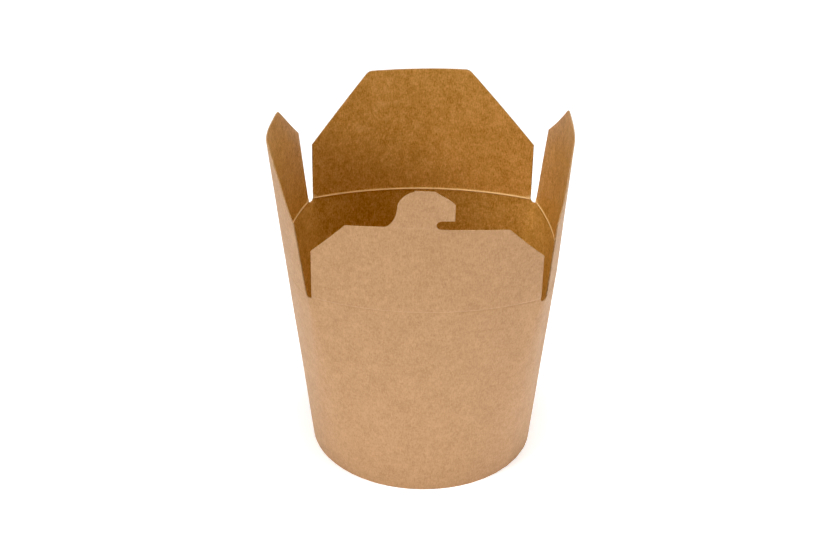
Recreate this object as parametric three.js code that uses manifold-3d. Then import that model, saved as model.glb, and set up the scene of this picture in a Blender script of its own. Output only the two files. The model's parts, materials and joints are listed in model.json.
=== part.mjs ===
// Paperboard noodle takeaway box, empty and standing open: a tapered tub of kraft board on a round foot,
// with four closing flaps hinged along its rim and a hook-shaped locking tab on the front one.
// Millimetres, +Z up, the hook flap towards -Y. The origin is the bounding box's middle, at foot level.
import * as THREE from 'three';
import { mergeVertices } from 'three/addons/utils/BufferGeometryUtils.js';
import Module from 'manifold-3d';

const wasm = await Module();
wasm.setup();

// ---------------------------------------------------------------- driving dimensions

const BOARD = 0.5;          // thickness of the kraft board
const CLEARANCE = 0.3;      // air left between two pieces that touch

const FOOT_RADIUS = 44;     // outside of the round foot
const RIM_HEIGHT = 86.3;    // crease line at the corners
const RIM_SAG = 0.8;        // how far each crease dips at its middle
const RIM_HALF_X = 45.55;   // corner to centre line, left and right
const RIM_HALF_Y = 37.48;   // corner to centre line, front and back
const CORNER_RADIUS = 3;    // bend of the board below each slot

const HEM_HEIGHT = 5.1;     // board turned in at the foot, round the rim of the base disc
const FOOT_FOLD = 0.6;      // thickness of the fold that the box stands on
const FOOT_CHAMFER = 0.25;  // worn edge of that fold
const BASE_UNDERSIDE = HEM_HEIGHT + CLEARANCE;

const SLOT_WIDTH = 1.9;     // die-cut slot between neighbouring flaps
const SLOT_DEPTH = 1.35;    // how far the slot runs below the crease

const LAP_WIDTH = 9;        // glued side seam, at the back left corner
const LAP_RAMP = 4;         // length over which the outer layer rises onto the inner one
const LAP_START = 0.2;      // share of the board's thickness at which the outer layer emerges
const LAP_TOP_GAP = 1.2;    // seam's end below the crease

// Each side: the way it faces, how far its crease and its flap's top edge bow outwards, and how the flap
// stands. lean is in radians, twist is lean added per half width, and skew shifts the top's bow to one end.
const SIDES = {
  front: { heading: -90, bow: 10.6, topBow: 7.45, lean: 0.07, twist: 0.051, skew: 0, flapHeight: 35.15 },
  right: { heading: 0, bow: 6.7, topBow: 5.1, lean: 0.105, twist: 0.023, skew: -1.6, flapHeight: 54.5 },
  back: { heading: 90, bow: 10.1, topBow: 10.8, lean: 0.09, twist: -0.021, skew: 0, flapHeight: 51.3 },
  left: { heading: 180, bow: 9.2, topBow: 8.2, lean: 0.123, twist: -0.017, skew: 6.8, flapHeight: 54.1 },
};

// Flap outlines, seen square on. base is the outline's wide lower part: half its width at the crease and at
// the shoulders, and how far it sits off centre. top is the edge above the slanted shoulders.
const FLAPS = {
  front: {
    base: { creaseHalf: 44.2, shoulderHalf: 44.3, shoulderHeight: 21.0, shift: 0 },
    top: { half: 31.1, shift: 0, crown: 1.6 },
  },
  right: {
    base: { creaseHalf: 36.1, shoulderHalf: 36.5, shoulderHeight: 31.3, shift: 0 },
    top: { half: 13.8, shift: 0, crown: 0 },
  },
  back: {
    base: { creaseHalf: 43.9, shoulderHalf: 44.25, shoulderHeight: 23.1, shift: 0.3 },
    top: { half: 19.6, shift: 1.9, crown: 0 },
  },
  left: {
    base: { creaseHalf: 35.5, shoulderHalf: 35.9, shoulderHeight: 30.9, shift: 0.2 },
    top: { half: 13.8, shift: 0.8, crown: 0 },
  },
};
const TOP_CORNER_RADIUS = 1.5;

// Hook tab, in the front flap's outline: [x, height] points, and the handles that pull its curves.
const HOOK = {
  root: -16.4,                    // start of the fillet on the flap's top edge
  fillet: [-1.6, 0.4],            // handle of the fillet, from the neck and from the top edge
  neck: -12.3,                    // left side of the neck
  side: [-11.8, 45.75],           // left side, where the fillet ends and the shoulder starts
  sidePull: [4, 3],               // handles below and above that point
  shoulderPull: [4.5, 0.7],       // handle at the top of the shoulder
  top: 53.45,
  flat: [-5.65, 1.9],             // ends of the flat at the very top
  nick: 0.5,                      // step left by the die at the flat's left end
  nosePull: [2, 1.6],             // handles of the slope down to the nose
  nose: [9.8, 47.6],              // where the right side turns straight
  noseRise: [2.5, 3],
  notch: [36.75, 40.2],           // lower and upper edge of the notch
  notchEnd: 2.85,                 // how deep the notch runs
};

const ARC_STEPS = 16;       // headings along each side
const CORNER_STEPS = 12;    // headings round each corner
const FLAP_COLUMNS = 36;
const LAP_ROWS = 14;
const LAP_COLUMNS = 7;
const CURVE_STEPS = 10;     // points on each curved piece of a flap's outline
const MERGE = 1e-5;         // vertices nearer than this are one
const CUT_MARGIN = 4;       // how far a cutting tool runs past what it cuts
const PUNCH_DEPTH = 60;     // thickness of the punch that gives a flap its outline
const SLAB_MARGIN = 2;      // board round that outline before it is punched

// ---------------------------------------------------------------- the tub's surface

const order = ['front', 'right', 'back', 'left'];
const up = new THREE.Vector3(0, 0, 1);
const RIM = 'rim';      // a profile height that follows the crease
const AXIS = 'axis';    // a profile inset that lies on the tub's centre line

for (const name of order) {
  const side = SIDES[name];
  const heading = THREE.MathUtils.degToRad(side.heading);
  side.out = new THREE.Vector3(Math.cos(heading), Math.sin(heading), 0);
  side.along = new THREE.Vector3(-Math.sin(heading), Math.cos(heading), 0);
  const acrossX = name === 'left' || name === 'right';
  side.halfChord = acrossX ? RIM_HALF_Y : RIM_HALF_X;
  side.distance = acrossX ? RIM_HALF_X : RIM_HALF_Y;
  side.radius = arcRadius(side.halfChord, side.bow);
  side.centre = side.out.clone().multiplyScalar(side.distance + side.bow - side.radius);
}

function arcRadius(halfChord, bow) {
  return (halfChord ** 2 + bow ** 2) / (2 * bow);
}

// How far an arc of this bow stands out from its chord, at x along the chord.
function arcRise(x, halfChord, bow) {
  const radius = arcRadius(halfChord, bow);
  return Math.sqrt(radius ** 2 - x ** 2) - (radius - bow);
}

// The corner where two neighbouring rim arcs meet, both drawn in by the corner radius.
function coreCorner(a, b) {
  const ra = a.radius - CORNER_RADIUS;
  const rb = b.radius - CORNER_RADIUS;
  const gap = b.centre.clone().sub(a.centre);
  const d = gap.length();
  const forward = (d ** 2 + ra ** 2 - rb ** 2) / (2 * d);
  const sideways = Math.sqrt(ra ** 2 - forward ** 2);
  const unit = gap.normalize();
  const normal = new THREE.Vector3(unit.y, -unit.x, 0);
  const outwards = Math.sign(normal.dot(a.out) + normal.dot(b.out));
  return a.centre.clone().addScaledVector(unit, forward).addScaledVector(normal, outwards * sideways);
}

order.forEach((name, i) => {
  const side = SIDES[name];
  const next = SIDES[order[(i + 1) % 4]];
  side.endCorner = coreCorner(side, next);
  next.startCorner = side.endCorner;
});

function headingOf(vector, near) {
  const angle = Math.atan2(vector.y, vector.x);
  const turn = 2 * Math.PI;
  return angle + turn * Math.round((near - angle) / turn);
}

for (const name of order) {
  const side = SIDES[name];
  const facing = THREE.MathUtils.degToRad(side.heading);
  side.from = headingOf(side.startCorner.clone().sub(side.centre), facing);
  side.to = headingOf(side.endCorner.clone().sub(side.centre), facing);
}

// The wall is the sheet that wraps the round foot and the rim: its straight rulings join the points of both
// that face the same way. This is the rim's point, its height included.
function rimPoint(heading, inset) {
  const turn = 2 * Math.PI;
  const first = SIDES.front.from;
  const wrapped = first + (((heading - first) % turn) + turn) % turn;
  let core = SIDES.front.startCorner;
  let height = RIM_HEIGHT;
  for (const name of order) {
    const side = SIDES[name];
    const away = new THREE.Vector3(Math.cos(wrapped), Math.sin(wrapped), 0);
    if (wrapped >= side.from && wrapped <= side.to) {
      core = side.centre.clone().addScaledVector(away, side.radius - CORNER_RADIUS);
      height = RIM_HEIGHT - sagAt(core.dot(side.along) / side.halfChord);
      break;
    }
    if (wrapped > side.to) core = side.endCorner;
  }
  const reach = CORNER_RADIUS - inset;
  return new THREE.Vector3(
    core.x + reach * Math.cos(wrapped),
    core.y + reach * Math.sin(wrapped),
    height,
  );
}

function sagAt(share) {
  return RIM_SAG * Math.max(0, 1 - share ** 2);
}

function footPoint(heading, inset) {
  const radius = FOOT_RADIUS - inset;
  return new THREE.Vector3(radius * Math.cos(heading), radius * Math.sin(heading), 0);
}

function wallPoint(heading, inset, z) {
  const rim = rimPoint(heading, inset);
  const share = z === RIM ? 1 : z / rim.z;
  return footPoint(heading, inset).lerp(rim, share);
}

function headingList() {
  const list = [];
  order.forEach((name, i) => {
    const side = SIDES[name];
    const turn = i === 3 ? 2 * Math.PI : 0;
    const next = SIDES[order[(i + 1) % 4]].from + turn;
    for (let k = 0; k < ARC_STEPS; k++) list.push(side.from + (side.to - side.from) * k / ARC_STEPS);
    for (let k = 0; k < CORNER_STEPS; k++) list.push(side.to + (next - side.to) * k / CORNER_STEPS);
  });
  return list;
}

// ---------------------------------------------------------------- solids

// Skins a row of sections, each an equally long loop of points, into one closed solid.
function skin(sections, closedRing) {
  const count = sections[0].length;
  const positions = [];
  const addTriangle = (a, b, c) => {
    const shared = a.equals(b) || b.equals(c) || c.equals(a);
    if (!shared) positions.push(...a.toArray(), ...b.toArray(), ...c.toArray());
  };
  const last = closedRing ? sections.length : sections.length - 1;
  for (let i = 0; i < last; i++) {
    const here = sections[i];
    const there = sections[(i + 1) % sections.length];
    for (let j = 0; j < count; j++) {
      const k = (j + 1) % count;
      addTriangle(here[j], there[j], there[k]);
      addTriangle(here[j], there[k], here[k]);
    }
  }
  if (!closedRing) {
    const start = sections[0];
    const end = sections[sections.length - 1];
    for (let k = 0; k < count / 2 - 1; k++) {
      const m = count - 1 - k;
      addTriangle(start[k], start[k + 1], start[m - 1]);
      addTriangle(start[k], start[m - 1], start[m]);
      addTriangle(end[k + 1], end[k], end[m]);
      addTriangle(end[k + 1], end[m], end[m - 1]);
    }
  }
  const geometry = new THREE.BufferGeometry();
  geometry.setAttribute('position', new THREE.Float32BufferAttribute(positions, 3));
  return mergeVertices(geometry, MERGE);
}

// A ring or disc that follows the wall: profile lists [inset, height] pairs, up its outside, down its inside.
function ringSolid(profile) {
  return skin(headingList().map((heading) => profile.map(([inset, z]) => (
    inset === AXIS ? new THREE.Vector3(0, 0, z) : wallPoint(heading, inset, z)
  ))), true);
}

function toManifold(geometry) {
  const bare = geometry.clone();
  bare.deleteAttribute('normal');
  bare.deleteAttribute('uv');
  const merged = mergeVertices(bare, MERGE);
  return new wasm.Manifold(new wasm.Mesh({
    numProp: 3,
    vertProperties: merged.attributes.position.array,
    triVerts: new Uint32Array(merged.index.array),
  }));
}

function toGeometry(solid) {
  const mesh = solid.getMesh();
  const geometry = new THREE.BufferGeometry();
  geometry.setAttribute('position', new THREE.Float32BufferAttribute(mesh.vertProperties, 3));
  geometry.setIndex(new THREE.Uint32BufferAttribute(mesh.triVerts, 1));
  geometry.computeVertexNormals();
  return geometry;
}

// A straight prism of an outline drawn in the upright plane that faces along out, through the given point.
function prism(shape, out, point, thickness) {
  const along = new THREE.Vector3(-out.y, out.x, 0);
  const settings = { depth: thickness, bevelEnabled: false, curveSegments: CURVE_STEPS };
  const geometry = new THREE.ExtrudeGeometry(shape, settings);
  geometry.translate(0, 0, -thickness / 2);
  geometry.applyMatrix4(new THREE.Matrix4().makeBasis(along, up, out).setPosition(point));
  return toManifold(geometry);
}

// ---------------------------------------------------------------- wall and base

// The slot's rounded lower end, which reaches into the wall at a corner.
function slotShape() {
  const radius = SLOT_WIDTH / 2;
  const shape = new THREE.Shape();
  shape.moveTo(radius, CUT_MARGIN);
  shape.lineTo(-radius, CUT_MARGIN);
  shape.lineTo(-radius, radius - SLOT_DEPTH);
  shape.absarc(0, radius - SLOT_DEPTH, radius, Math.PI, 2 * Math.PI, false);
  shape.closePath();
  return shape;
}

function slotCutter(side) {
  const corner = side.endCorner.clone();
  const out = corner.clone().normalize();
  corner.z = RIM_HEIGHT;
  return prism(slotShape(), out, corner, 4 * CORNER_RADIUS);
}

// The heading of the wall's point that lies a given way round from the back left corner, at one height share.
function headingFromSeam(distance, share) {
  const { to } = SIDES.back;
  const { from, radius } = SIDES.left;
  const middle = (to + from) / 2;
  const roundCorner = FOOT_RADIUS * (1 - share) + CORNER_RADIUS * share;
  const cornerLength = (from - middle) * roundCorner;
  if (Math.abs(distance) <= cornerLength) return middle + distance / roundCorner;
  const onSide = FOOT_RADIUS * (1 - share) + (distance > 0 ? radius : SIDES.back.radius) * share;
  const beyond = Math.abs(distance) - cornerLength;
  return middle + Math.sign(distance) * (from - middle + beyond / onSide);
}

// The outer layer of the glued seam: it rises onto the inner layer before the corner and ends behind it.
function lapSolid() {
  const embed = BOARD / 2;
  const sections = [];
  for (let row = 0; row <= LAP_ROWS; row++) {
    const share = row / LAP_ROWS;
    const z = FOOT_CHAMFER + (RIM_HEIGHT - LAP_TOP_GAP - FOOT_CHAMFER) * share;
    const outer = [];
    const inner = [];
    for (let k = 0; k <= LAP_COLUMNS; k++) {
      const distance = -LAP_RAMP + (LAP_WIDTH + LAP_RAMP) * k / LAP_COLUMNS;
      const rise = Math.min(1, (distance + LAP_RAMP) / LAP_RAMP - LAP_START);
      const heading = headingFromSeam(distance, z / RIM_HEIGHT);
      outer.push(wallPoint(heading, -BOARD * rise, z));
      inner.push(wallPoint(heading, embed, z));
    }
    sections.push([...inner, ...outer.reverse()]);
  }
  return toManifold(skin(sections, false));
}

function wallGeometry() {
  const pocket = 2 * BOARD + 2 * CLEARANCE;   // inset of the hem, past the disc's rim
  const hem = pocket + BOARD;
  const shell = toManifold(ringSolid([
    [FOOT_CHAMFER, 0],
    [0, FOOT_CHAMFER],
    [0, RIM],
    [BOARD, RIM],
    [BOARD, FOOT_FOLD],
    [pocket, FOOT_FOLD],
    [pocket, HEM_HEIGHT],
    [hem, HEM_HEIGHT],
    [hem, FOOT_CHAMFER],
    [hem - FOOT_CHAMFER, 0],
  ]));
  let wall = shell.add(lapSolid());
  for (const name of order) wall = wall.subtract(slotCutter(SIDES[name]));
  return toGeometry(wall);
}

// The base disc, its rim turned down into the pocket of the foot.
function baseGeometry() {
  const outer = BOARD + CLEARANCE;
  return toGeometry(toManifold(ringSolid([
    [AXIS, BASE_UNDERSIDE],
    [outer + BOARD, BASE_UNDERSIDE],
    [outer + BOARD, FOOT_FOLD + CLEARANCE],
    [outer, FOOT_FOLD + CLEARANCE],
    [outer, BASE_UNDERSIDE + BOARD],
    [AXIS, BASE_UNDERSIDE + BOARD],
  ])));
}

// ---------------------------------------------------------------- flaps

// A point of the flap: x along the chord of its crease, v up the board, inset inwards through the board.
function flapPoint(side, x, v, inset) {
  const share = x / side.halfChord;
  const lift = Math.min(1, v / side.flapHeight);
  const lean = side.lean + side.twist * share;
  const crease = arcRise(x, side.halfChord, side.bow);
  const top = arcRise(x, side.halfChord, side.topBow) + side.skew * share * (1 - share ** 2);
  const outwards = v * Math.sin(lean) + crease + (top - crease) * lift;
  const slope = x / (arcRadius(side.halfChord, side.bow) * (1 - lift)
    + arcRadius(side.halfChord, side.topBow) * lift);
  return side.out.clone().multiplyScalar(side.distance + outwards - inset * Math.cos(slope))
    .addScaledVector(side.along, x - inset * Math.sin(slope))
    .setZ(RIM_HEIGHT + v * Math.cos(lean) - sagAt(share));
}

function flapSlab(side, halfWidth, height) {
  const sections = [];
  for (let k = 0; k <= FLAP_COLUMNS; k++) {
    const x = halfWidth * (2 * k / FLAP_COLUMNS - 1);
    sections.push([
      flapPoint(side, x, CLEARANCE, 0),
      flapPoint(side, x, side.flapHeight, 0),
      flapPoint(side, x, height, 0),
      flapPoint(side, x, height, BOARD),
      flapPoint(side, x, side.flapHeight, BOARD),
      flapPoint(side, x, CLEARANCE, BOARD),
    ]);
  }
  return toManifold(skin(sections, false));
}

// Starts an outline below the crease at the +x end and takes it round the shoulder to the top edge.
function outlineUp(shape, { base, top }, flapHeight) {
  const foot = base.shift + base.creaseHalf;
  const shoulder = [base.shift + base.shoulderHalf, base.shoulderHeight];
  shape.moveTo(foot, -CUT_MARGIN);
  shape.lineTo(foot, 0);
  shape.lineTo(...shoulder);
  roundedCorner(shape, shoulder, [top.shift + top.half, flapHeight], [top.shift, flapHeight + top.crown]);
}

// Takes the outline from the top edge down the -x side and closes it.
function outlineDown(shape, { base, top }, flapHeight) {
  const foot = base.shift - base.creaseHalf;
  const shoulder = [base.shift - base.shoulderHalf, base.shoulderHeight];
  roundedCorner(shape, [top.shift, flapHeight + top.crown], [top.shift - top.half, flapHeight], shoulder);
  shape.lineTo(...shoulder);
  shape.lineTo(foot, 0);
  shape.lineTo(foot, -CUT_MARGIN);
  shape.closePath();
}

function roundedCorner(shape, before, corner, after) {
  const back = new THREE.Vector2(before[0] - corner[0], before[1] - corner[1]).setLength(TOP_CORNER_RADIUS);
  const ahead = new THREE.Vector2(after[0] - corner[0], after[1] - corner[1]).setLength(TOP_CORNER_RADIUS);
  shape.lineTo(corner[0] + back.x, corner[1] + back.y);
  shape.quadraticCurveTo(corner[0], corner[1], corner[0] + ahead.x, corner[1] + ahead.y);
}

// Runs along the arched top edge and round the hook that stands on it.
function hookPath(shape, { top }, flapHeight) {
  const crown = (x) => flapHeight + top.crown * (1 - (x / top.half) ** 2);
  const along = (from, to) => {
    for (let k = 1; k <= CURVE_STEPS; k++) {
      const x = from + (to - from) * k / CURVE_STEPS;
      shape.lineTo(x, crown(x));
    }
  };
  const edge = top.half - 2 * TOP_CORNER_RADIUS;
  const [notchBottom, notchTop] = HOOK.notch;
  const notchRadius = (notchTop - notchBottom) / 2;
  const notchX = HOOK.notchEnd + notchRadius;
  const [flatLeft, flatRight] = HOOK.flat;
  const [noseX, noseHeight] = HOOK.nose;
  const [sideX, sideHeight] = HOOK.side;
  along(edge, noseX);
  shape.lineTo(notchX, notchBottom);
  shape.absarc(notchX, notchBottom + notchRadius, notchRadius, -Math.PI / 2, Math.PI / 2, true);
  shape.lineTo(noseX, notchTop);
  shape.lineTo(noseX, noseHeight);
  shape.bezierCurveTo(noseX - HOOK.noseRise[0], noseHeight + HOOK.noseRise[1],
    flatRight + HOOK.nosePull[0], HOOK.top - HOOK.nosePull[1], flatRight, HOOK.top);
  shape.lineTo(flatLeft, HOOK.top);
  shape.lineTo(flatLeft, HOOK.top - HOOK.nick);
  shape.bezierCurveTo(flatLeft - HOOK.shoulderPull[0], HOOK.top - HOOK.nick - HOOK.shoulderPull[1],
    sideX, sideHeight + HOOK.sidePull[1], sideX, sideHeight);
  shape.bezierCurveTo(sideX, sideHeight - HOOK.sidePull[0],
    HOOK.neck + HOOK.fillet[0], crown(HOOK.root) + HOOK.fillet[1], HOOK.root, crown(HOOK.root));
  along(HOOK.root, -edge);
}

function flapOutline(name) {
  const form = FLAPS[name];
  const { flapHeight } = SIDES[name];
  const shape = new THREE.Shape();
  outlineUp(shape, form, flapHeight);
  if (name === 'front') hookPath(shape, form, flapHeight);
  outlineDown(shape, form, flapHeight);
  return shape;
}

function flapGeometry(name) {
  const side = SIDES[name];
  const height = name === 'front' ? HOOK.top : side.flapHeight;
  const slab = flapSlab(side, FLAPS[name].base.shoulderHalf + SLAB_MARGIN, height + SLAB_MARGIN);
  const chord = side.out.clone().multiplyScalar(side.distance).setZ(RIM_HEIGHT);
  return toGeometry(slab.intersect(prism(flapOutline(name), side.out, chord, PUNCH_DEPTH)));
}

// ---------------------------------------------------------------- the box

const kraft = (color) => new THREE.MeshStandardMaterial({ color, roughness: 0.85, metalness: 0 });

const pieces = [
  ['wall', wallGeometry(), 0xc79b6d],
  ['base', baseGeometry(), 0xb98a58],
];
for (const name of order) pieces.push([`flap_${name}`, flapGeometry(name), 0xc59869]);

const box = new THREE.Group();
for (const [name, geometry, color] of pieces) {
  const mesh = new THREE.Mesh(geometry, kraft(color));
  mesh.name = name;
  box.add(mesh);
}

// The origin goes to the middle of the bounding box, at foot level.
const bounds = new THREE.Box3().setFromObject(box);
box.position.set(-(bounds.min.x + bounds.max.x) / 2, -(bounds.min.y + bounds.max.y) / 2, 0);

export default box;
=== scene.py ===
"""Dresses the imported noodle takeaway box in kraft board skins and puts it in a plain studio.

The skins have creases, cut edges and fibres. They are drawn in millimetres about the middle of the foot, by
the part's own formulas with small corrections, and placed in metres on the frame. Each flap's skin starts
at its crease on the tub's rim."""

import json
import math
from types import SimpleNamespace

import bpy
import numpy as np
from mathutils import Matrix, Vector, noise
from mathutils.geometry import delaunay_2d_cdt


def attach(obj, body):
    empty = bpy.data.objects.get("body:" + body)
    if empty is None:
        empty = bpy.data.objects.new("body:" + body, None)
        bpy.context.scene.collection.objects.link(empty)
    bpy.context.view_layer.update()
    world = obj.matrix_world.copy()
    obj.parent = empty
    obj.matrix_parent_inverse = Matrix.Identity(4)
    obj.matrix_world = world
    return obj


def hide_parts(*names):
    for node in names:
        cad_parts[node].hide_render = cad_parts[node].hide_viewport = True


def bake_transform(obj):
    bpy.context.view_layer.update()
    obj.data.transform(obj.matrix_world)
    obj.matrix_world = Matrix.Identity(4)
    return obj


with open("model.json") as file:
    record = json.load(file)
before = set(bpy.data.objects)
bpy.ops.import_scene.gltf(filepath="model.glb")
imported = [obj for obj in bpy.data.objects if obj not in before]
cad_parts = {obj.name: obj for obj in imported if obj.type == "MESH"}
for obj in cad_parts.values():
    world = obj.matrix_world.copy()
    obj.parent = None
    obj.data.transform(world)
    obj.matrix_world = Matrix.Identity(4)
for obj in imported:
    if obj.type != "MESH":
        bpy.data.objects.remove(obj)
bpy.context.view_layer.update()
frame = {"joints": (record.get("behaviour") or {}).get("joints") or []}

# ---------------------------------------------------------------- dimensions of the part, in millimetres

MM = 0.001
BOARD = 0.5               # thickness
CLEARANCE = 0.3           # between sheets
FOOT_RADIUS = 44.0
RIM_HEIGHT = 86.3
RIM_HALF_X = 45.55        # half of the rectangle that the creases bow out from
RIM_HALF_Y = 37.48
CORNER_RADIUS = 3
HEM_HEIGHT = 5.1          # of the fold inside the foot
FOOT_FOLD = 0.6           # height of the fold's inner floor
BASE_UNDERSIDE = HEM_HEIGHT + CLEARANCE
POCKET = 2 * BOARD + 2 * CLEARANCE      # from the wall's face to the fold's outer face
HEM = POCKET + BOARD                    # and to its inner face
LAP_WIDTH = 9             # of the side seam's outer layer past the back left corner
LAP_RAMP = 4              # before the corner, where it lifts off the wall
LAP_TOP_GAP = 1.6         # from its upper end to the rim
LAP_BOTTOM = 0.4
LAP_SINK = 0.04           # share of the board by which it lies lower, so that it starts inside the wall

ORDER = ["front", "right", "back", "left"]
# Each side of the rim and its flap: the crease's bow and how far its middle sags, the bow of the flap's
# top, the flap's lean with its twist towards +x, the lopsidedness of the top's bow, a soft dent in it
# (depth, place, width), and the flap's height.
NO_DENT = (0, 0, 1)
SIDES = {
    "front": dict(heading=-90, bow=10.6, sag=0.35, top_bow=7.45, lean=0.07, twist=0.051, skew=0,
                  dent=NO_DENT, height=35.15),
    "right": dict(heading=0, bow=6.95, sag=0.8, top_bow=4.7, lean=0.112, twist=0.015, skew=-2.17,
                  dent=(0.62, -22.6, 9.5), height=54.4),
    "back": dict(heading=90, bow=10.1, sag=0.8, top_bow=10.8, lean=0.09, twist=-0.021, skew=0,
                 dent=NO_DENT, height=51.75),
    "left": dict(heading=180, bow=9.85, sag=0.8, top_bow=8.19, lean=0.137, twist=-0.007, skew=7.0,
                 dent=(2.3, 24.6, 11), height=53.1),
}
# Each flap's outline as x along its crease and height above it: the two ends of the crease, the shoulders
# above them, the ends of the top edge, how far the top's middle stands above those ends, and the rounding
# of the top's corners.
FLAPS = {
    "front": dict(crease=(-44.25, 44.05), shoulders=((-44.5, 21.1), (44.3, 20.85)),
                  top=(-31.5, 30.6), crown=1.6, corner=0.5),
    "right": dict(crease=(-34.65, 36.3), shoulders=((-35.2, 31.4), (36.6, 33.0)),
                  top=(-13.8, 13.8), crown=0, corner=1.5),
    "back": dict(crease=(-43.8, 44.85), shoulders=((-44.3, 23.5), (45.2, 23.8)),
                 top=(-17.9, 22.6), crown=-0.3, corner=1.5),
    "left": dict(crease=(-35.25, 36.0), shoulders=((-35.4, 31.4), (34.3, 30.5)),
                 top=(-13.3, 15.4), crown=0, corner=1.5),
}
SLOTS = {                 # depth below the crease and squareness of the slot at each side's +x end
    "front": (1.5, 3.0),
    "right": (1.35, 1.3),
    "back": (1.4, 1.5),
    "left": (0.55, 2.4),
}
# The hook on the front flap's top edge, as x and height above the crease. Its left side runs up from root
# past neck to side. Its top lies at the height top between the two x of flat, with a nick at the left, and
# ends at the point nose. The notch under the nose has a lower and an upper height and reaches in to
# notch_end. Right of the hook the edge has a crown of its own. The fillet, the pulls and nose_rise place
# the curves' control points.
HOOK = SimpleNamespace(
    root=-17.0, fillet=(-1.6, 0.3), neck=-12.5, right_crown=1.1,
    side=(-12.0, 45.75), side_pull=(4, 2.4), shoulder_pull=(3.5, 0.9),
    top=53.45, flat=(-5.65, 1.9), nick=0.5,
    nose_pull=(2, 1.6), nose=(9.8, 47.6), nose_rise=(2.5, 3),
    notch=(36.25, 40.2), notch_end=2.85,
)

# ---------------------------------------------------------------- detail of the board

CUT_ROUND = 0.1           # rounding of a cut edge, across the board
CUT_DROP = 0.08           # and along it, at the foot's fold
CREASE_GROOVE = 0.22      # score pressed into the outside
CREASE_BEAD = 0.2         # ridge that it raises on the inside
CREASE_WIDTH = 0.36       # half width of both
HOOK_GROOVE = 0.07        # faint score across the hook's neck
HOOK_WEAR_AND_HIGHLIGHT = 0.6           # its share of a crease's lighter colour, wear and painted highlight
WARP = 0.07               # slow unevenness of hand-folded board
WARP_LENGTH = 24
WARP_START = 12           # height at which it is full, from none at the foot
NOISE_REACH = 0.5         # most of the noise lies within this of zero
COLUMN = 2.2              # mesh spacing along a flap
ROW = 2.4                 # and up it
CREASE_ROWS = [0.12, 0.24, 0.36, 0.5, 0.7, 1.0, 1.4, 1.9, 2.4, 3.0, 3.6, 4.2, 4.8, 5.6, 6.6]
NECK_ROWS = [-0.7, -0.5, -0.3, -0.1, 0.1, 0.3]      # from the score across the hook's neck
EDGE_MARGIN = 0.7         # from a flap's edge to the nearest inner mesh point
CREASE_MARGIN = 0.05      # the same among the crease's rows
SHORTEST = 0.02           # closer points of an outline are one
MITRE_LIMIT = 1.6         # stretch of the inset at a sharp corner of an outline
TINY = 1e-6

# ---------------------------------------------------------------- the tub's surface

def arc_radius(half_chord, bow):
    """Radius of an arc from half its chord and its bow, the height of its middle over the chord."""
    return (half_chord**2 + bow**2) / (2 * bow)


def arc_rise(x, half_chord, bow):
    """Height of the arc over its chord at x from the chord's middle."""
    radius = arc_radius(half_chord, bow)
    return np.sqrt(radius**2 - x**2) - (radius - bow)


def direction(heading):
    return np.array([math.cos(heading), math.sin(heading)])


def make_side(name):
    """A side's values with its directions and its arc in plan."""
    side = SimpleNamespace(name=name, **SIDES[name])
    side.facing = math.radians(side.heading)
    side.out = direction(side.facing)
    side.along = np.array([-side.out[1], side.out[0]])
    across_x = name in ("left", "right")
    side.half_chord = RIM_HALF_Y if across_x else RIM_HALF_X
    side.distance = RIM_HALF_X if across_x else RIM_HALF_Y
    side.radius = arc_radius(side.half_chord, side.bow)
    side.centre = side.out * (side.distance + side.bow - side.radius)
    return side


def core_corner(a, b):
    """Where two neighbouring rim arcs meet, both drawn in by the corner radius."""
    ra, rb = a.radius - CORNER_RADIUS, b.radius - CORNER_RADIUS
    gap = b.centre - a.centre
    d = np.linalg.norm(gap)
    forward = (d**2 + ra**2 - rb**2) / (2 * d)
    unit = gap / d
    normal = np.array([unit[1], -unit[0]])
    outwards = np.sign(normal @ (a.out + b.out))
    return a.centre + unit * forward + normal * outwards * math.sqrt(ra**2 - forward**2)


def angle_of(vector, near):
    """The vector's angle, taken in the turn that is nearest to another angle."""
    angle = math.atan2(vector[1], vector[0])
    return angle + 2 * math.pi * round((near - angle) / (2 * math.pi))


def make_sides():
    """The four sides by name, each with the points and headings at which its arc starts and ends."""
    made = {name: make_side(name) for name in ORDER}
    for i, name in enumerate(ORDER):
        here, there = made[name], made[ORDER[(i + 1) % 4]]
        here.end = there.start = core_corner(here, there)
    for side in made.values():
        side.first = angle_of(side.start - side.centre, side.facing)
        side.last = angle_of(side.end - side.centre, side.facing)
    return made


sides = make_sides()


def rim_core(heading):
    """(core point, height of the crease) of the ruling that faces this way."""
    start = sides["front"].first
    wrapped = start + (heading - start) % (2 * math.pi)
    core = sides["front"].start
    for name in ORDER:
        side = sides[name]
        if side.first <= wrapped <= side.last:
            core = side.centre + direction(wrapped) * (side.radius - CORNER_RADIUS)
            x = side.radius * math.sin(wrapped - side.facing)
            return core, RIM_HEIGHT - side.sag * max(0, 1 - (x / side.half_chord) ** 2)
        if wrapped > side.last:
            core = side.end
    return core, RIM_HEIGHT


class Rulings:
    """The wall's straight lines from foot to rim, one for each heading of a list."""

    def __init__(self, headings):
        self.away = np.array([direction(h) for h in headings])
        cores = [rim_core(h) for h in headings]
        self.core = np.array([c[0] for c in cores])
        self.crease = np.array([c[1] for c in cores])

    def points(self, inset, z):
        """Points at an inset from the outer face and a height, each a number or one for every ruling."""
        inset = np.broadcast_to(np.asarray(inset, float), self.crease.shape)
        z = np.broadcast_to(np.asarray(z, float), self.crease.shape)
        foot = self.away * (FOOT_RADIUS - inset)[:, None]
        rim = self.core + self.away * (CORNER_RADIUS - inset)[:, None]
        share = (z / self.crease)[:, None]
        flat = foot + (rim - foot) * share
        return np.column_stack([flat, z])


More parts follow.
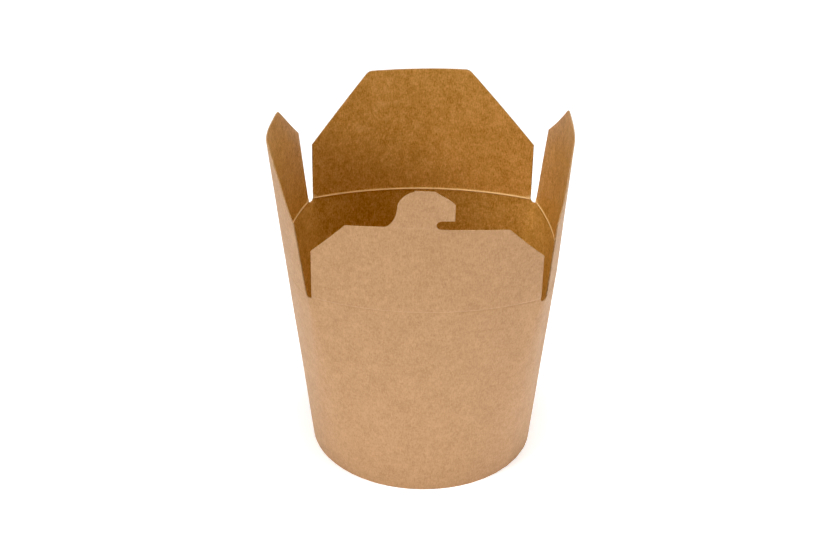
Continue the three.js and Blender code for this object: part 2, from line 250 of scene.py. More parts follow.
def corner_place(corner, heading):
    """How far round the corner the rim's outer point lies: 0 in the middle of the slot."""
    core, _ = rim_core(heading)
    point = core + direction(heading) * CORNER_RADIUS
    outwards = corner / np.linalg.norm(corner)
    return (point - corner) @ np.array([-outwards[1], outwards[0]])


CORNER_REACH = 0.6        # radians to each side of a corner's middle, more than its slot takes
HALVINGS = 40


def corner_heading(side, place):
    """The heading whose rim point lies at this place round the corner at the side's end."""
    corner = side.end
    middle = math.atan2(corner[1], corner[0])
    middle = side.last + (middle - side.last) % (2 * math.pi)
    low, high = middle - CORNER_REACH, middle + CORNER_REACH
    for _ in range(HALVINGS):
        centre = (low + high) / 2
        if corner_place(corner, centre) < place:
            low = centre
        else:
            high = centre
    return (low + high) / 2


SLOT_STEPS = 14
SIDE_COLUMNS = 40


def crease_end(side, x):
    """The outer point of the rim where a flap's crease ends."""
    outwards = side.distance + arc_rise(x, side.half_chord, side.bow)
    return outwards * side.out + x * side.along


def slot_columns(name):
    """(heading, depth) across the slot at the side's +x end, from this flap's edge to the next flap's."""
    here, there = sides[name], sides[ORDER[(ORDER.index(name) + 1) % 4]]
    corner = here.end
    outwards = corner / np.linalg.norm(corner)
    round_it = np.array([-outwards[1], outwards[0]])
    first = (crease_end(here, FLAPS[name]["crease"][1]) - corner) @ round_it
    last = (crease_end(there, FLAPS[there.name]["crease"][0]) - corner) @ round_it
    deepest, squareness = SLOTS[name]
    columns = []
    for k in range(SLOT_STEPS + 1):
        turn = math.pi * k / SLOT_STEPS
        place = (first + last) / 2 - (last - first) / 2 * math.cos(turn)
        columns.append((corner_heading(here, place), deepest * math.sin(turn) ** (2 / squareness)))
    return columns


def wall_headings():
    """Headings round the wall, each with the slot's depth there, or None along a side."""
    corners = [slot_columns(name) for name in ORDER]
    rows = []
    for i, corner in enumerate(corners):
        following = corners[(i + 1) % 4]
        rows += corner
        first, last = corner[-1][0], following[0][0]
        while last < first:
            last += 2 * math.pi
        for k in range(1, SIDE_COLUMNS):
            rows.append((first + (last - first) * k / SIDE_COLUMNS, None))
    return rows


def warp_at(points):
    """Slow outward unevenness of the board, in millimetres, at each point."""
    return np.array([WARP * noise.noise(Vector(p) / WARP_LENGTH) / NOISE_REACH for p in points])


def crease_shape(distance):
    """1 on a crease's line, falling smoothly to 0 beside it."""
    return np.exp(-((distance / CREASE_WIDTH) ** 2))


# ---------------------------------------------------------------- meshes

joint_places = {joint["name"]: joint["pos_m"] for joint in frame["joints"]}
left_joint, right_joint = joint_places["left_crease"], joint_places["right_crease"]
CENTRE = Vector(((left_joint[0] + right_joint[0]) / 2, left_joint[1], 0))    # the foot's middle, in metres

OUTSIDE, INSIDE, EDGE = 0, 1, 2         # each piece's material slots
SHARP = math.radians(40)                # faces that meet more steeply are shaded apart


def make_object(name, points, faces, kinds, materials, crease=None):
    """A piece from points in millimetres about the foot's middle.

    kinds gives each face's material, and crease each point's crease mark, from 0 to 1: wear and a painted
    highlight."""
    points = np.asarray(points, float)
    mesh = bpy.data.meshes.new(name)
    mesh.from_pydata((points * MM + np.array(CENTRE)).tolist(), [], faces)
    for material in materials:
        mesh.materials.append(material)
    mesh.polygons.foreach_set("material_index", np.array(kinds, np.int32))
    place = mesh.attributes.new("rest_place", "FLOAT_VECTOR", "POINT")
    place.data.foreach_set("vector", points.astype(np.float32).ravel())
    wear_and_highlight = mesh.attributes.new("crease", "FLOAT", "POINT")
    values = np.zeros(len(points)) if crease is None else np.asarray(crease)
    wear_and_highlight.data.foreach_set("value", values.astype(np.float32))
    mesh.validate()
    mesh.shade_smooth()
    mesh.set_sharp_from_angle(angle=SHARP)
    obj = bpy.data.objects.new(name, mesh)
    bpy.context.scene.collection.objects.link(obj)
    return obj


def ring_faces(rows, columns, closed_profile=True):
    """Quads between rows of points that run round the wall, row after row."""
    faces = []
    for r in range(rows if closed_profile else rows - 1):
        below, above = r * columns, ((r + 1) % rows) * columns
        for c in range(columns):
            n = (c + 1) % columns
            faces.append((below + c, below + n, above + n, above + c))
    return faces


# ---------------------------------------------------------------- wall

# The wall's profile: (inset, height) round the foot's outer bend, heights up the wall, shares of the way
# from there to the top, and (distance from the fold's inner face, height) down the fold and under it.
FOOT_ROWS = [(0.4, 0.0), (0.23, 0.03), (0.1, 0.12), (0.02, 0.25), (0.0, 0.42), (0.0, 1.0)]
LOWER_ROWS = [2.2, 3.6, 5.2] + [8 + 4 * k for k in range(19)]
UPPER = 81.0
UPPER_SHARES = [0.25, 0.45, 0.62, 0.74, 0.82, 0.87, 0.905, 0.932, 0.954, 0.972, 0.987, 1.0]
HEM_ROWS = [(0, 2.4), (0, 0.62), (0.03, 0.38), (0.15, 0.18), (0.36, 0.05), (0.62, 0.0)]


def build_wall(materials):
    """One closed profile along the rulings: up the outside, down the inside and round the foot's fold."""
    columns = wall_headings()
    rulings = Rulings([h for h, _ in columns])
    top = rulings.crease.copy()
    creased = np.ones(len(columns))
    for i, (_, depth) in enumerate(columns):
        if depth is not None:
            top[i] -= depth
            creased[i] = 1.0 if depth < TINY else 0.0
    upper = []
    for share in UPPER_SHARES:
        z = UPPER + (top - UPPER) * share
        upper.append((z, crease_shape(rulings.crease - z) * creased))

    # each row's crease mark, which the materials paint lighter as wear and as a painted highlight
    rows, kinds, wear_and_highlight = [], [], []

    def add(inset, z, kind, crease=0.0):
        row = rulings.points(inset, z)
        shift = warp_at(rulings.points(0, z)) * np.clip(np.asarray(z) / WARP_START, 0, 1)
        row[:, :2] += rulings.away * shift[:, None]
        rows.append(row)
        kinds.append(kind)
        wear_and_highlight.append(np.broadcast_to(crease, (len(columns),)))

    for inset, z in FOOT_ROWS:
        add(inset, z, OUTSIDE)
    for z in LOWER_ROWS:
        add(0, z, OUTSIDE)
    for z, score in upper:
        add(CREASE_GROOVE * score, z, OUTSIDE, score)
    kinds[-1] = EDGE
    for z, score in reversed(upper):
        add(BOARD + CREASE_BEAD * score, z, INSIDE, score)
    for z in reversed(LOWER_ROWS):
        add(BOARD, z, INSIDE)
    add(BOARD, FOOT_FOLD, INSIDE)
    add(POCKET, FOOT_FOLD, INSIDE)
    add(POCKET, HEM_HEIGHT - CUT_DROP, EDGE)
    add(POCKET + CUT_ROUND, HEM_HEIGHT, EDGE)
    add(HEM - CUT_ROUND, HEM_HEIGHT, OUTSIDE)
    add(HEM, HEM_HEIGHT - CUT_DROP, OUTSIDE)
    for back, z in HEM_ROWS:
        add(HEM - back, z, OUTSIDE)

    count = len(columns)
    faces = ring_faces(len(rows), count)
    face_kinds = [kind for kind in kinds for _ in range(count)]
    wall = make_object("wall_board", np.vstack(rows), faces, face_kinds, materials, np.concatenate(wear_and_highlight))
    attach(wall, "tub")
    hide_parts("wall")
    return wall


def seam_heading(distance, share):
    """The heading of the wall's point that lies this far round from the back left corner."""
    last, first = sides["back"].last, sides["left"].first
    middle = (last + first) / 2
    round_corner = FOOT_RADIUS * (1 - share) + CORNER_RADIUS * share
    corner_length = (first - middle) * round_corner
    if abs(distance) <= corner_length:
        return middle + distance / round_corner
    radius = sides["left"].radius if distance > 0 else sides["back"].radius
    on_side = FOOT_RADIUS * (1 - share) + radius * share
    return middle + math.copysign(first - middle + (abs(distance) - corner_length) / on_side, distance)


LAP_STEPS = 22
LAP_LEVELS = 60


def build_seam(materials):
    """The outer layer of the glued side seam: it lifts off the wall's surface and ends in a cut edge."""
    points, kinds, faces = [], [], []
    loop = 2 * (LAP_STEPS + 1)
    for level in range(LAP_LEVELS + 1):
        z = LAP_BOTTOM + (RIM_HEIGHT - LAP_TOP_GAP - LAP_BOTTOM) * level / LAP_LEVELS
        outer, inner = [], []
        for k in range(LAP_STEPS + 1):
            distance = -LAP_RAMP + (LAP_WIDTH + LAP_RAMP) * k / LAP_STEPS
            rise = min(1.0, (distance + LAP_RAMP) / LAP_RAMP)
            rise = rise * rise * (3 - 2 * rise) - LAP_SINK
            ruling = Rulings([seam_heading(distance, z / RIM_HEIGHT)])
            shift = warp_at(ruling.points(0, z)) * min(1, z / WARP_START)
            for inset, into in ((-BOARD * rise, outer), (BOARD / 2, inner)):
                point = ruling.points(inset, z)
                point[:, :2] += ruling.away * shift[:, None]
                into.append(point[0])
        points += inner + outer[::-1]
    for level in range(LAP_LEVELS):
        for k in range(loop):
            n = (k + 1) % loop
            here, above = level * loop, (level + 1) * loop
            faces.append((here + n, here + k, above + k, above + n))
            kinds.append(EDGE if k == LAP_STEPS else OUTSIDE)
    for start, flip in ((0, False), (LAP_LEVELS * loop, True)):
        for k in range(LAP_STEPS):
            quad = (start + k, start + k + 1, start + loop - 2 - k, start + loop - 1 - k)
            faces.append(quad[::-1] if flip else quad)
            kinds.append(EDGE)
    seam = make_object("side_seam", points, faces, kinds, materials)
    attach(seam, "tub")
    return seam


# The base's profile: shares of the way from its middle to its rim, (inset, drop) over its shoulder, the
# height half way down its turned rim, and (inset, drop) from the rim's inner face back to its underside.
DISC_SHARES = [0.02, 0.2, 0.4, 0.6, 0.75, 0.88, 0.95, 0.975]
SHOULDER_ROWS = [(0.5, 0.03), (0.18, 0.16), (0.02, 0.5)]
TURNED_MIDDLE = 3.2
UNDER_ROWS = [(0.02, 0.2), (0.15, 0.04)]


def build_base(materials):
    """The disc that closes the foot, with its rim turned down into the wall's pocket."""
    columns = wall_headings()
    rulings = Rulings([h for h, _ in columns])
    outer = BOARD + CLEARANCE
    count = len(columns)
    top = BASE_UNDERSIDE + BOARD
    rows, kinds = [], []

    def disc(share, z, kind):
        row = rulings.points(outer, z)
        row[:, :2] *= share
        rows.append(row)
        kinds.append(kind)

    def rim(inset, z, kind):
        rows.append(rulings.points(inset, z))
        kinds.append(kind)

    for share in DISC_SHARES:
        disc(share, top, INSIDE)
    for inset, drop in SHOULDER_ROWS:
        rim(outer + inset, top - drop, INSIDE)
    rim(outer, TURNED_MIDDLE, INSIDE)
    rim(outer, FOOT_FOLD + CLEARANCE, EDGE)
    rim(outer + BOARD, FOOT_FOLD + CLEARANCE, OUTSIDE)
    rim(outer + BOARD, TURNED_MIDDLE, OUTSIDE)
    for inset, drop in UNDER_ROWS:
        rim(outer + BOARD + inset, BASE_UNDERSIDE - drop, OUTSIDE)
    for share in reversed(DISC_SHARES[:-1]):
        disc(share, BASE_UNDERSIDE, OUTSIDE)
    faces = [f[::-1] for f in ring_faces(len(rows), count, closed_profile=False)]
    face_kinds = [kind for kind in kinds[:-1] for _ in range(count)]
    points = np.vstack(rows)
    faces.append(tuple(range(count)))
    face_kinds.append(INSIDE)
    faces.append(tuple(reversed(range(len(points) - count, len(points)))))
    face_kinds.append(OUTSIDE)
    base = make_object("base_board", points, faces, face_kinds, materials)
    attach(base, "tub")
    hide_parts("base")
    return base


# ---------------------------------------------------------------- flaps

def sag_at(side, x):
    """How far the crease dips below the rim's height at x along its chord."""
    return side.sag * np.maximum(0, 1 - (np.asarray(x, float) / side.half_chord) ** 2)


def flap_points(side, x, rise, inset):
    """Points of the flap: x along its crease's chord, rise above the crease, inset inwards through it."""
    x, rise = np.asarray(x, float), np.asarray(rise, float)
    share = x / side.half_chord
    lean = side.lean + side.twist * share
    lift = np.minimum(1, rise / np.cos(lean) / side.height)
    crease = arc_rise(x, side.half_chord, side.bow)
    depth, place, width = side.dent
    top = arc_rise(x, side.half_chord, side.top_bow) + side.skew * share * (1 - share**2)
    top -= depth * np.exp(-(((x - place) / width) ** 2))
    outwards = rise * np.tan(lean) + crease + (top - crease) * lift
    radius = arc_radius(side.half_chord, side.bow) * (1 - lift)
    radius = radius + arc_radius(side.half_chord, side.top_bow) * lift
    slope = x / radius
    reach = side.distance + outwards - inset * np.cos(slope)
    sideways = x - inset * np.sin(slope)
    flat = np.outer(reach, side.out) + np.outer(sideways, side.along)
    return np.column_stack([flat, RIM_HEIGHT + rise - sag_at(side, x)])


CORNER_STEPS = 4
CURVE_STEPS = 10
NOTCH_STEPS = 8
ARCH_POINTS = (9, 7)      # along the arched top edge, right and left of the hook


def quadratic(a, b, c, t):
    return a * (1 - t) ** 2 + 2 * b * t * (1 - t) + c * t * t


def rounded_corner(before, corner, after, size):
    before, corner, after = (np.array(p, float) for p in (before, corner, after))
    back = corner + (before - corner) / np.linalg.norm(before - corner) * size
    ahead = corner + (after - corner) / np.linalg.norm(after - corner) * size
    shares = [k / CORNER_STEPS for k in range(CORNER_STEPS + 1)]
    return [tuple(quadratic(back, corner, ahead, share)) for share in shares]


def cubic(a, b, c, d):
    """Points along a Bezier curve, without its first."""
    a, b, c, d = (np.array(p, float) for p in (a, b, c, d))
    out = []
    for k in range(1, CURVE_STEPS + 1):
        t = k / CURVE_STEPS
        first_half = a * (1 - t) ** 3 + 3 * b * t * (1 - t) ** 2
        out.append(tuple(first_half + 3 * c * t * t * (1 - t) + d * t**3))
    return out


def crown(form, side, x):
    """Height of the front flap's arched top edge."""
    rise = form["crown"] if x < 0 else HOOK.right_crown
    return side.height + rise * (1 - (x / form["top"][1]) ** 2)


def hook_path(form, side):
    """Along the arched top edge and round the hook that stands on it, from the +x end to the other."""
    edge = form["top"][1] - 2 * form["corner"]
    low, high = HOOK.notch
    radius = (high - low) / 2
    middle = HOOK.notch_end + radius
    (flat_left, flat_right), (nose_x, nose_z) = HOOK.flat, HOOK.nose
    side_x, side_z = HOOK.side
    points = [(x, crown(form, side, x)) for x in np.linspace(edge, nose_x, ARCH_POINTS[0])]
    for k in range(NOTCH_STEPS + 1):
        angle = -math.pi / 2 - math.pi * k / NOTCH_STEPS
        points.append((middle + radius * math.cos(angle), low + radius + radius * math.sin(angle)))
    points += [(nose_x, high), (nose_x, nose_z)]
    points += cubic(
        (nose_x, nose_z), (nose_x - HOOK.nose_rise[0], nose_z + HOOK.nose_rise[1]),
        (flat_right + HOOK.nose_pull[0], HOOK.top - HOOK.nose_pull[1]), (flat_right, HOOK.top))
    points += [(flat_left, HOOK.top), (flat_left, HOOK.top - HOOK.nick)]
    points += cubic(
        (flat_left, HOOK.top - HOOK.nick),
        (flat_left - HOOK.shoulder_pull[0], HOOK.top - HOOK.nick - HOOK.shoulder_pull[1]),
        (side_x, side_z + HOOK.side_pull[1]), (side_x, side_z))
    root = (HOOK.root, crown(form, side, HOOK.root))
    points += cubic(
        (side_x, side_z), (side_x, side_z - HOOK.side_pull[0]),
        (HOOK.neck + HOOK.fillet[0], root[1] + HOOK.fillet[1]), root)
    points += [(x, crown(form, side, x)) for x in np.linspace(HOOK.root, -edge, ARCH_POINTS[1])[1:]]
    return points


def flap_outline(name):
    """The flap's outline seen from outside, anticlockwise from the crease's +x end to its other end."""
    form, side = FLAPS[name], sides[name]
    foot_left, foot_right = ((x, 0) for x in form["crease"])
    shoulder_left, shoulder_right = form["shoulders"]
    top_left, top_right = form["top"]
    peak = ((top_left + top_right) / 2, side.height + form["crown"])
    points = [shoulder_right]
    points += rounded_corner(shoulder_right, (top_right, side.height), peak, form["corner"])
    points += hook_path(form, side) if name == "front" else [peak]
    points += rounded_corner(peak, (top_left, side.height), shoulder_left, form["corner"])
    points += [shoulder_left]
    above_crease = [(x, height + float(sag_at(side, x))) for x, height in points]
    return [foot_right, *above_crease, foot_left]


def resampled(points, spacing):
    """Splits the longer stretches of an open path evenly."""
    out = [points[0]]
    for a, b in zip(points, points[1:]):
        length = math.dist(a, b)
        if length < TINY:
            continue
        steps = max(1, round(length / spacing))
        for k in range(1, steps + 1):
            out.append((a[0] + (b[0] - a[0]) * k / steps, a[1] + (b[1] - a[1]) * k / steps))
    return out


def drawn_in(loop, amount):
    """A loop, anticlockwise, moved inwards by this amount."""
    points = np.array(loop)
    ahead = np.roll(points, -1, axis=0) - points
    ahead /= np.linalg.norm(ahead, axis=1)[:, None]
    behind = np.roll(ahead, 1, axis=0)
    inwards = np.column_stack([-ahead[:, 1] - behind[:, 1], ahead[:, 0] + behind[:, 0]])
    size = np.linalg.norm(inwards, axis=1)[:, None]
    inwards /= size
    stretch = np.minimum(MITRE_LIMIT, 2 / size)
    return points + inwards * amount * stretch


def inside_loop(points, loop, margin):
    """Which points lie inside the loop and at least margin from it."""
    a = np.array(loop)
    b = np.roll(a, -1, axis=0)
    edge = b - a
    rise = np.where(edge[:, 1] == 0, TINY, edge[:, 1])
    keep = []
    for p in points:
        crosses = (a[:, 1] > p[1]) != (b[:, 1] > p[1])
        at = a[:, 0] + (p[1] - a[:, 1]) / rise * edge[:, 0]
        inside = np.count_nonzero(crosses & (p[0] < at)) % 2 == 1
        t = np.clip(((p - a) * edge).sum(1) / (edge**2).sum(1), 0, 1)
        distance = np.linalg.norm(a + edge * t[:, None] - p, axis=1).min()
        keep.append(inside and distance > margin)
    return np.array(keep)


def flap_columns(path):
    """x of the mesh's columns: evenly from one end of the crease to the other, and one step past each."""
    left_end, right_end = path[-1][0], path[0][0]
    columns = max(2, round((right_end - left_end) / COLUMN))
    return [left_end + (right_end - left_end) * k / columns for k in range(-1, columns + 2)]


def flap_levels(name, top):
    """Heights of the mesh's rows above the crease."""
    levels = CREASE_ROWS + list(np.arange(CREASE_ROWS[-1] + ROW, top, ROW))
    if name == "front":
        fold = sides[name].height + FLAPS[name]["crown"] + sides[name].sag
        levels += [fold + row for row in NECK_ROWS]
    return sorted(levels)


def flap_net(name):
    """The flap laid flat: its edge as a loop, and points and triangles that fill the loop drawn in.

    The last value gives the number of each loop point's partner among the points."""
    path = resampled(flap_outline(name), COLUMN)
    path = [p for i, p in enumerate(path) if i == 0 or math.dist(p, path[i - 1]) > SHORTEST]
    xs = flap_columns(path)
    loop = path + [(x, 0.0) for x in xs[2:-2]]
    border = drawn_in(loop, CUT_ROUND)
    border[len(path):, 1] = 0
    border[0, 1] = border[len(path) - 1, 1] = 0

    inner = []
    for level in flap_levels(name, max(height for _, height in path)):
        margin = CREASE_MARGIN if level < CREASE_ROWS[-1] else EDGE_MARGIN
        row = np.array([(x, level) for x in xs])
        inner += row[inside_loop(row, border, margin)].tolist()
    given = [Vector(p) for p in border.tolist() + inner]
    edges = [(i, (i + 1) % len(border)) for i in range(len(border))]
    points, _, triangles, origins, _, _ = delaunay_2d_cdt(given, edges, [], 1, 1e-5)
    partner = {old: new for new, olds in enumerate(origins) for old in olds}
    return np.array(loop), np.array([p[:] for p in points]), triangles, partner


def neck_score(side, form, x, height):
    """Strength of the score across the hook's neck, which lies on the line of the flap's top edge."""
    fold = np.array([crown(form, side, at) for at in x]) + sag_at(side, x)
    return crease_shape(height - fold) * ((x > HOOK.root) & (x < HOOK.notch_end))


def build_flap(name, materials):
    """Two faces over one flat net, joined round the edge, which is rounded where the board is cut."""
    side, form = sides[name], FLAPS[name]
    loop, net, triangles, partner = flap_net(name)

    def surface(place, inset):
        x, height = place.T
        points = flap_points(side, x, height, inset)
        shift = warp_at(flap_points(side, x, height, 0))
        points[:, :2] += np.outer(shift, side.out)
        return points

    score, edge_score = crease_shape(net[:, 1]), crease_shape(loop[:, 1])
    neck = neck_score(side, form, *net.T) if name == "front" else np.zeros(len(net))
    vertices = np.vstack([
        surface(net, CREASE_GROOVE * score + HOOK_GROOVE * neck),
        surface(net, BOARD + CREASE_BEAD * score),
        surface(loop, CUT_ROUND + CREASE_GROOVE * edge_score),
        surface(loop, BOARD - CUT_ROUND + CREASE_BEAD * edge_score),
    ])
    # each point's crease mark, painted lighter as wear and as a painted highlight
    wear_and_highlight = np.concatenate([score + HOOK_WEAR_AND_HIGHLIGHT * neck, score, edge_score, edge_score])

    faces = [tuple(t) for t in triangles]
    faces += [tuple(len(net) + i for i in reversed(t)) for t in triangles]
    kinds = [OUTSIDE] * len(triangles) + [INSIDE] * len(triangles)
    outer_edge, inner_edge = 2 * len(net), 2 * len(net) + len(loop)
    for i in range(len(loop)):
        n = (i + 1) % len(loop)
        faces += [
            (partner[n], partner[i], outer_edge + i, outer_edge + n),
            (outer_edge + n, outer_edge + i, inner_edge + i, inner_edge + n),
            (inner_edge + n, inner_edge + i, len(net) + partner[i], len(net) + partner[n]),
        ]
        kinds += [EDGE] * 3
    flap = make_object(f"{name}_flap_board", vertices, faces, kinds, materials, wear_and_highlight)
    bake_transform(flap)
    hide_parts(f"flap_{name}")
    return flap


# ---------------------------------------------------------------- materials

class Graph:
    """Adds nodes to a material and links them."""

    def __init__(self, name):
        self.material = bpy.data.materials.new(name)
        self.material.use_nodes = True
        self.nodes = self.material.node_tree.nodes
        self.links = self.material.node_tree.links
        self.shader = self.nodes["Principled BSDF"]

    def add(self, kind, **settings):
        node = self.nodes.new(kind)
        for key, value in settings.items():
            setattr(node, key, value)
        return node

    def put(self, source, socket):
        if hasattr(source, "is_output"):
            self.links.new(source, socket)
        elif source is not None:
            socket.default_value = source

    def noise(self, vector, scale, detail=2.0, roughness=0.5):
        node = self.add("ShaderNodeTexNoise")
        self.put(vector, node.inputs["Vector"])
        node.inputs["Scale"].default_value = scale
        node.inputs["Detail"].default_value = detail
        node.inputs["Roughness"].default_value = roughness
        return node.outputs["Fac"]

    def fibres(self, vector, turn):
        """Noise drawn out into short strands, lying along an axis turned by these angles."""
        node = self.add("ShaderNodeMapping")
        self.put(vector, node.inputs["Vector"])
        node.inputs["Rotation"].default_value = turn
        node.inputs["Scale"].default_value = FIBRE_SCALE
        return self.noise(node.outputs["Vector"], 1.0)

    def layer(self, value, amount):
        """A noise value from 0 to 1, spread from -amount to amount."""
        return self.math("MULTIPLY", self.math("SUBTRACT", value, 0.5), amount * 2)

    def math(self, operation, a, b=None, clamp=False):
        node = self.add("ShaderNodeMath", operation=operation, use_clamp=clamp)
        self.put(a, node.inputs[0])
        self.put(b, node.inputs[1])
        return node.outputs[0]

    def range(self, value, low, high, to_low, to_high):
        node = self.add("ShaderNodeMapRange")
        self.put(value, node.inputs["Value"])
        ends = {"From Min": low, "From Max": high, "To Min": to_low, "To Max": to_high}
        for key, number in ends.items():
            node.inputs[key].default_value = number
        return node.outputs["Result"]

    def mix(self, factor, a, b):
        node = self.add("ShaderNodeMix", data_type="RGBA")
        self.put(factor, node.inputs["Factor"])
        self.put(a, node.inputs[6])
        self.put(b, node.inputs[7])
        return node.outputs[2]

    def attribute(self, name, output):
        return self.add("ShaderNodeAttribute", attribute_name=name).outputs[output]


CLOUDS = [                # noise scale, detail, roughness and amount of the cloudy tone and the mottling
    (0.11, 2, 0.5, 0.6),
    (0.4, 2, 0.5, 1.0),
    (1.25, 3, 0.6, 1.6),
]
FIBRE_TURNS = [(0, 0, 0), (0.9, 0.2, 0.5), (0.3, 1.1, 0.2), (1.4, 0.5, 0.8)]
FIBRE_SCALE = (2.8, 2.8, 0.7)
FIBRE_AMOUNT = 0.8
SPECK_SCALE = 0.85
SPECK_START, SPECK_FULL = 0.74, 0.8     # noise value at which a speck begins and is darkest
SPECK_SHARE = 0.45
SPECK_TINT = (0.6, 0.55, 0.5)           # of the board's dark tone
GLOSS_SPREAD = 0.05
FIBRE_HEIGHT = 0.05 * MM


def kraft(name, tone, dark, light, wear_and_highlight, wear_and_highlight_share, roughness, specular, relief):
    """Unbleached board: cloudy tone, mottling, short fibres all ways, a few dark specks, and creases
    painted lighter, partly wear and partly a painted highlight.
    """
    g = Graph(name)
    place = g.attribute("rest_place", "Vector")
    layers = [g.layer(g.noise(place, *cloud), amount) for *cloud, amount in CLOUDS]
    layers += [g.layer(g.fibres(place, turn), FIBRE_AMOUNT) for turn in FIBRE_TURNS]
    grain = layers[0]
    for layer in layers[1:]:
        grain = g.math("ADD", grain, layer)
    colour = g.mix(g.range(grain, -1, 0, 1, 0), (*tone, 1), (*dark, 1))
    colour = g.mix(g.range(grain, 0, 1, 0, 1), colour, (*light, 1))
    speck = g.range(g.noise(place, SPECK_SCALE, 1), SPECK_START, SPECK_FULL, 0, SPECK_SHARE)
    speck_tone = [part * share for part, share in zip(dark, SPECK_TINT)]
    colour = g.mix(speck, colour, (*speck_tone, 1))
    # creases painted lighter: partly wear of the board, partly a painted highlight along the crease's ridge
    crease = g.math("MULTIPLY", g.attribute("crease", "Fac"), wear_and_highlight_share, clamp=True)
    colour = g.mix(crease, colour, (*wear_and_highlight, 1))
    g.links.new(colour, g.shader.inputs["Base Color"])

    rough = g.range(grain, -1, 1, roughness + GLOSS_SPREAD, roughness - GLOSS_SPREAD)
    g.links.new(rough, g.shader.inputs["Roughness"])
    g.shader.inputs["Specular IOR Level"].default_value = specular

    bump = g.add("ShaderNodeBump")
    bump.inputs["Strength"].default_value = relief
    bump.inputs["Distance"].default_value = FIBRE_HEIGHT
    g.links.new(grain, bump.inputs["Height"])
    g.links.new(bump.outputs["Normal"], g.shader.inputs["Normal"])
    return g.material


def board_materials():
    """The board's outside, its inside on the flaps, its inside in the tub, and its cut edge. The tub's
    inside is the same board as the flaps' inside, with its tone painted less red against the redder bounce
    light in the tub.
    """
    outside = kraft(
        "kraft_outside",
        tone=(0.402, 0.217, 0.091), dark=(0.344, 0.178, 0.069), light=(0.461, 0.256, 0.113),
        wear_and_highlight=(0.55, 0.35, 0.19), wear_and_highlight_share=0.27, roughness=0.6, specular=0.5, relief=0.3)
    inside = kraft(
        "kraft_inside",
        tone=(0.495, 0.240, 0.052), dark=(0.358, 0.157, 0.024), light=(0.632, 0.323, 0.094),
        wear_and_highlight=(0.86, 0.61, 0.29), wear_and_highlight_share=0.95, roughness=0.5, specular=0.25, relief=0.25)
    # the same board as the inside above, its tone painted less red to offset the redder light bouncing in
    # the tub
    tub_inside_bounce_tinted = kraft(
        "kraft_tub_inside_bounce_tinted",
        tone=(0.488, 0.249, 0.055), dark=(0.352, 0.163, 0.026), light=(0.623, 0.334, 0.098),
        wear_and_highlight=(0.86, 0.61, 0.29), wear_and_highlight_share=0.95, roughness=0.5, specular=0.2, relief=0.25)
    edge = kraft(
        "kraft_cut_edge",
        tone=(0.34, 0.20, 0.09), dark=(0.27, 0.15, 0.06), light=(0.42, 0.26, 0.13),
        wear_and_highlight=(0.42, 0.26, 0.13), wear_and_highlight_share=0.5, roughness=0.8, specular=0.2, relief=0.6)
    return outside, inside, tub_inside_bounce_tinted, edge


# ---------------------------------------------------------------- camera and studio

FRAME_WIDTH = 840         # pixels
SENSOR = 36.0


def build_camera():
    """The photograph's view, placed about the foot's middle in millimetres and radians."""
    focal_pixels = 2916.6
    distance, height = 983.1, 685.2
    azimuth, pan, tilt, roll = 0.0286, 0.0017, 0.5586, 0.0199
    data = bpy.data.cameras.new("camera")
    data.sensor_width = SENSOR
    data.lens = SENSOR * focal_pixels / FRAME_WIDTH
    data.clip_start, data.clip_end = 0.05, 50
    camera = bpy.data.objects.new("camera", data)
    bpy.context.scene.collection.objects.link(camera)
    right = Vector((math.cos(pan), math.sin(pan), 0))
    forward = Vector((-math.sin(pan) * math.cos(tilt), math.cos(pan) * math.cos(tilt), -math.sin(tilt)))
    up = right.cross(forward)
    rolled_right = right * math.cos(roll) + up * math.sin(roll)
    rolled_up = up * math.cos(roll) - right * math.sin(roll)
    axes = Matrix((rolled_right, rolled_up, -forward)).transposed().to_4x4()
    turn = Matrix.Rotation(-azimuth, 4, "Z")
    place = Matrix.Translation(Vector((0, -distance, height)) * MM)
    camera.matrix_world = Matrix.Translation(CENTRE) @ turn @ place @ axes
    bpy.context.scene.camera = camera


BLACK_LEVEL = 0.008
FLOOR_HALF = 6            # metres
FLOOR_GLOW = 0.57         # the floor is brightest in front of the box, on the right
GLOW_PLACE = (0.09, -0.13, 0)
GLOW_REACH = 0.25
LIGHTS = [
    dict(name="key", azimuth=53, elevation=36, power=14.3),
    dict(name="fill_light", azimuth=-68, elevation=22, power=6.0),
    dict(name="side_light", azimuth=-100, elevation=20, power=2.5),
    dict(name="front_light", azimuth=0, elevation=20, power=2.2),
    dict(name="top_light", azimuth=0, elevation=89, power=31.0),
]
LIGHT_TARGET = Vector((0, 0, 0.07))     # above the foot's middle
LIGHT_DISTANCE = 1.6
LIGHT_SIZE = 0.9


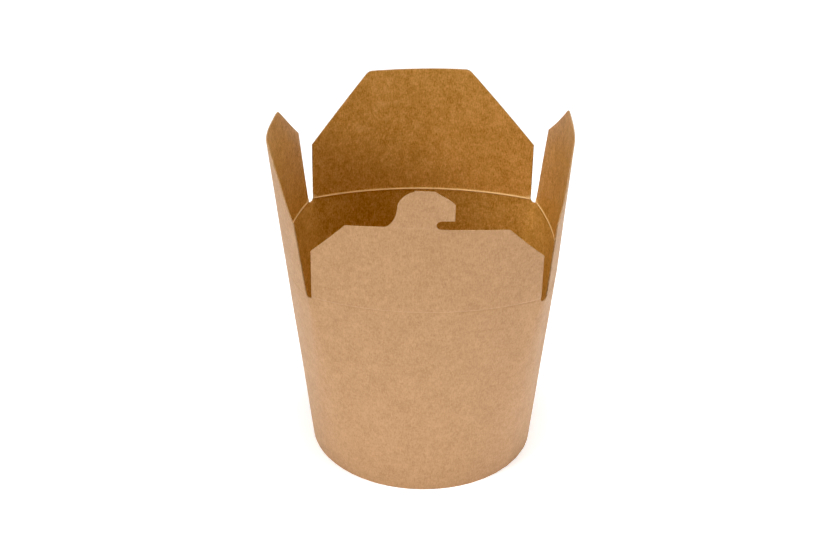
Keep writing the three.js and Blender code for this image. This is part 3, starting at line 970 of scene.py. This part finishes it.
def add_light(name, azimuth, elevation, power):
    """A round soft light that faces the box. The azimuth runs from the front to the left."""
    data = bpy.data.lights.new(name, "AREA")
    data.shape = "DISK"
    data.size = LIGHT_SIZE
    data.energy = power
    light = bpy.data.objects.new(name, data)
    bpy.context.scene.collection.objects.link(light)
    a, e = math.radians(azimuth), math.radians(elevation)
    away = Vector((-math.sin(a) * math.cos(e), -math.cos(a) * math.cos(e), math.sin(e)))
    light.location = CENTRE + LIGHT_TARGET + away * LIGHT_DISTANCE
    light.rotation_mode = "QUATERNION"
    light.rotation_quaternion = away.to_track_quat("Z", "Y")


def build_studio():
    """A white world that shows but gives no diffuse light, the lights, and the floor."""
    scene = bpy.context.scene
    scene.view_settings.view_transform = "Standard"
    scene.view_settings.use_curve_mapping = True
    scene.view_settings.curve_mapping.black_level = (BLACK_LEVEL,) * 3
    world = bpy.data.worlds.new("studio")
    scene.world = world
    world.use_nodes = True
    background = world.node_tree.nodes["Background"]
    background.inputs["Color"].default_value = (1.0, 1.0, 1.0, 1)
    world.cycles_visibility.diffuse = False
    for light in LIGHTS:
        add_light(**light)
    build_floor()


def build_floor():
    """A matt pale floor that glows softly round one place."""
    mesh = bpy.data.meshes.new("floor")
    corners = [(x * FLOOR_HALF, y * FLOOR_HALF, 0) for x, y in ((-1, -1), (1, -1), (1, 1), (-1, 1))]
    mesh.from_pydata(corners, [], [(0, 1, 2, 3)])
    floor = bpy.data.objects.new("floor", mesh)
    bpy.context.scene.collection.objects.link(floor)
    g = Graph("floor_paint")
    g.shader.inputs["Base Color"].default_value = (0.92, 0.92, 0.92, 1)
    g.shader.inputs["Roughness"].default_value = 0.9
    g.shader.inputs["Specular IOR Level"].default_value = 0.1
    g.shader.inputs["Emission Color"].default_value = (1, 1, 1, 1)
    distance = g.add("ShaderNodeVectorMath", operation="DISTANCE")
    g.links.new(g.add("ShaderNodeNewGeometry").outputs["Position"], distance.inputs[0])
    distance.inputs[1].default_value = GLOW_PLACE
    reach = g.math("POWER", g.math("DIVIDE", distance.outputs["Value"], GLOW_REACH), 2.0)
    glow = g.math("MULTIPLY", g.math("EXPONENT", g.math("MULTIPLY", reach, -1.0)), FLOOR_GLOW)
    g.links.new(glow, g.shader.inputs["Emission Strength"])
    mesh.materials.append(g.material)


# ---------------------------------------------------------------- the scene

build_camera()
build_studio()
outside, inside, tub_inside_bounce_tinted, cut_edge = board_materials()
tub_board = [outside, tub_inside_bounce_tinted, cut_edge]
pieces = [build_wall(tub_board), build_seam(tub_board), build_base(tub_board)]
pieces += [build_flap(name, [outside, inside, cut_edge]) for name in ORDER]
